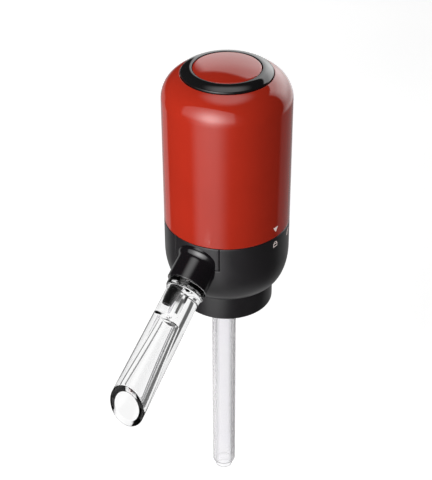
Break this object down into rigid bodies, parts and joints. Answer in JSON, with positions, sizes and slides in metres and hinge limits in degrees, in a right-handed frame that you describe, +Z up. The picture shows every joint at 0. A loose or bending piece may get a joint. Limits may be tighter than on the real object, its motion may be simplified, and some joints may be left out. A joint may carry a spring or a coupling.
{
  "type": "automatic wine dispenser",
  "caption": "Battery wine dispenser for a bottle's neck: red round-shouldered shell with a push button, black housing and collar, slanted clear spout and telescopic drop tube.",
  "frame": {"origin": "on the body's axis, where the bottle's lip seats on the seal", "axes": "+Z up along the body's axis, -Y towards the spout, +X to the right seen from the spout's side"},
  "size_m": [0.062, 0.1277, 0.2466],
  "materials": {
    "red_abs": "glossy",
    "gloss_black": "glossy",
    "black_abs": "satin",
    "clear_acrylic": "clear",
    "tube_plastic": "translucent white",
    "silicone": "matte",
    "carrier_plastic": "moulded",
    "spring_steel": "plated",
    "motor_can": "plated",
    "contact_brass": "bright",
    "cell_wrap": "printed wrap",
    "board": "matte",
    "lead_red": "matte",
    "lead_black": "matte"
  },
  "bodies": {
    "housing": {"switch_body": "gloss_black", "base_housing": "black_abs", "spout_mount": "black_abs", "bottle_collar": "black_abs", "nozzle": "black_abs", "drop_tube_outer": "tube_plastic", "bottle_seal": "silicone", "diaphragm": "silicone", "air_hose": "silicone", "manifold": "carrier_plastic", "wine_duct": "carrier_plastic", "battery_carrier": "carrier_plastic", "top_plate": "carrier_plastic", "pump_cover": "carrier_plastic", "valve_plate": "carrier_plastic", "pump_frame": "carrier_plastic", "drive_plate": "carrier_plastic", "carrier_screw_1": "spring_steel", "carrier_screw_2": "spring_steel", "carrier_screw_3": "spring_steel", "plate_screw_1": "spring_steel", "plate_screw_2": "spring_steel", "plate_screw_3": "spring_steel", "pump_motor": "motor_can", "lower_contact_1": "contact_brass", "lower_contact_2": "contact_brass", "lower_contact_3": "contact_brass", "upper_contact_1": "contact_brass", "upper_contact_2": "contact_brass", "terminal_plus": "contact_brass", "terminal_minus": "contact_brass", "battery_1": "cell_wrap", "battery_2": "cell_wrap", "battery_3": "cell_wrap", "battery_4": "cell_wrap", "battery_5": "cell_wrap", "battery_6": "cell_wrap", "switch_board": "board", "lead_plus": "lead_red", "lead_minus": "lead_black"},
    "shell": {"upper_shell": "red_abs", "top_bezel": "gloss_black", "button_spring": "spring_steel"},
    "button": {"power_button": "red_abs", "button_clip": "spring_steel"},
    "plunger": {"switch_plunger": "tube_plastic"},
    "rotor": {"motor_shaft": "spring_steel", "eccentric_cam": "contact_brass"},
    "spout": {"aerator_spout": "clear_acrylic", "spout_oring": "silicone"},
    "inner_tube": {"drop_tube_inner": "tube_plastic", "tube_glide_ring": "silicone"}
  },
  "joints": [
    {"name": "shell_twist", "type": "hinge", "parent": "housing", "child": "shell", "pos_m": [0, 0, 0.0305], "axis": [0, 0, 1], "range_deg": [0, 25]},
    {"name": "button_press", "type": "slide", "parent": "shell", "child": "button", "axis": [0, 0, -1], "range_m": [0, 0.0015], "stiffness_N_per_m": 600, "springref_m": -0.001, "deforming": ["button_spring"]},
    {"name": "switch_travel", "type": "slide", "parent": "housing", "child": "plunger", "axis": [0, 0, -1], "range_m": [0, 0.0015]},
    {"name": "motor_spin", "type": "hinge", "parent": "housing", "child": "rotor", "pos_m": [0, 0, 0.055], "axis": [0, 0, 1], "continuous": true},
    {"name": "spout_pull", "type": "slide", "parent": "housing", "child": "spout", "axis": [0, -0.866, -0.5], "range_m": [0, 0.012]},
    {"name": "tube_extend", "type": "slide", "parent": "housing", "child": "inner_tube", "axis": [0, 0, -1], "range_m": [0, 0.105]}
  ],
  "couplings": [
    {"joint": "switch_travel", "follows": "button_press", "ratio": 1}
  ]
}
